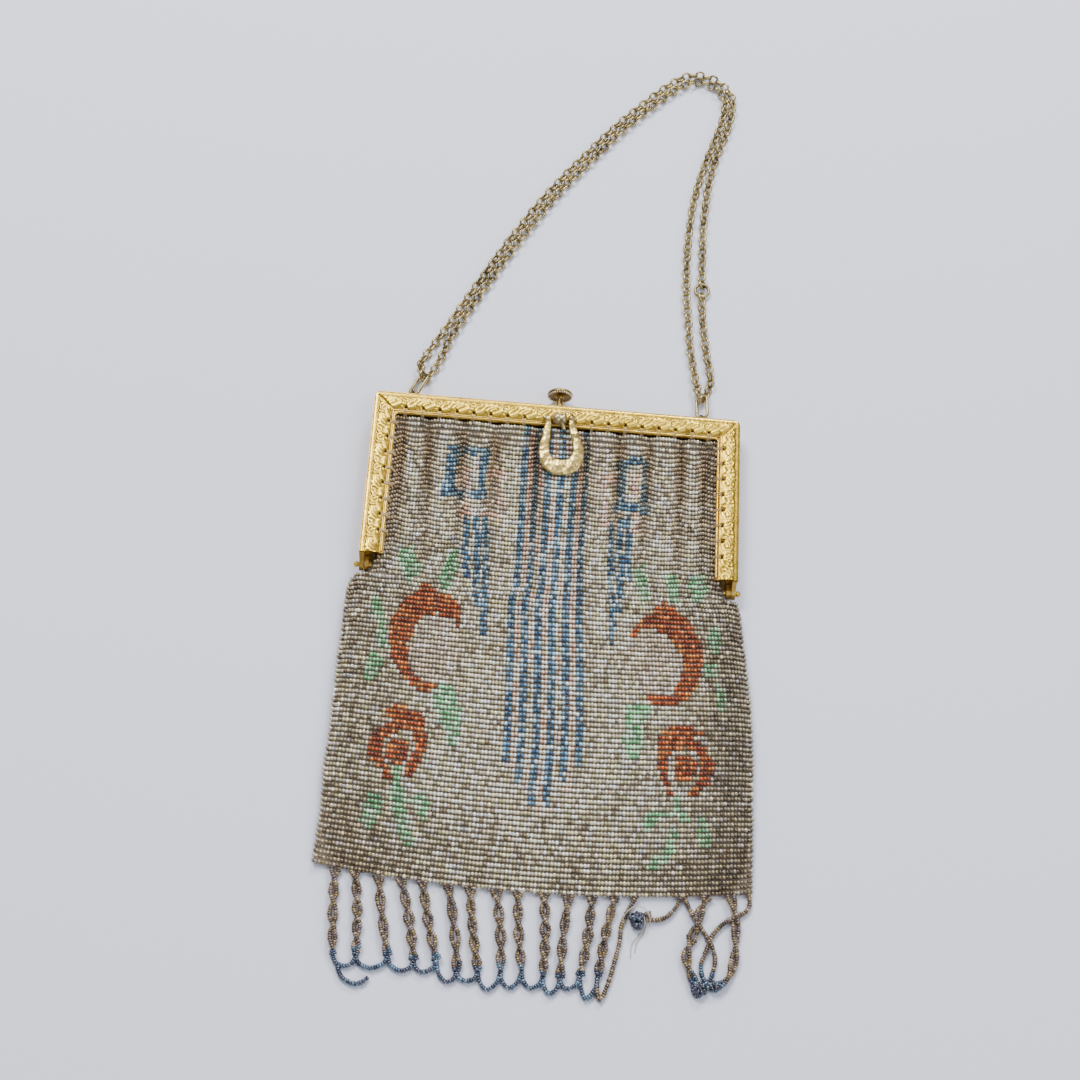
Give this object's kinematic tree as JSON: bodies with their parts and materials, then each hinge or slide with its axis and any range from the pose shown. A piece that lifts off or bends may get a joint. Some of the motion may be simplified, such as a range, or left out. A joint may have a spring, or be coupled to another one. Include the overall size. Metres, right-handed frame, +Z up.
{
  "type": "beaded flapper purse",
  "caption": "Flat beaded evening purse with a gilt hinged frame, push knob, horseshoe pull, doubled belcher chain, gathered bead bag and twisted bead fringe, lying on its back.",
  "frame": {"origin": "middle of the purse's outline, chain and fringe included, on the surface that it lies on", "axes": "+X along the frame's top bar to the right as seen from the front, +Y from the fringe towards the chain, +Z up out of the front face"},
  "size_m": [0.1476, 0.3778, 0.0132],
  "materials": {
    "gilt_frame": "stamped brass with worn pale gilding",
    "chain_brass": "dull brass, greyed between the links",
    "boss_steel": "worn grey metal",
    "beadwork": "rows of silver lined glass seed beads with a coloured pattern",
    "fringe_beads": "strung bronze glass beads with blue ends"
  },
  "bodies": {
    "purse": {"frame_front": "gilt_frame", "frame_back": "gilt_frame", "hinge_rivet_left": "gilt_frame", "hinge_rivet_right": "gilt_frame", "chain_ring_left": "chain_brass", "chain_ring_right": "chain_brass", "chain": "chain_brass", "chain_jump_ring": "chain_brass", "pull_boss": "boss_steel", "bag_body": "beadwork", "fringe": "fringe_beads"},
    "pull": {"horseshoe_pull": "gilt_frame"},
    "knob": {"clasp_knob": "gilt_frame"}
  },
  "joints": [
    {"name": "pull_swing", "type": "hinge", "parent": "purse", "child": "pull", "pos_m": [-0.00043, 0.01853, 0.0118], "axis": [-1, 0, 0], "range_deg": [0, 150]},
    {"name": "knob_press", "type": "slide", "parent": "purse", "child": "knob", "axis": [0, -1, 0], "range_m": [0, 0.0015], "stiffness_N_per_m": 400}
  ]
}
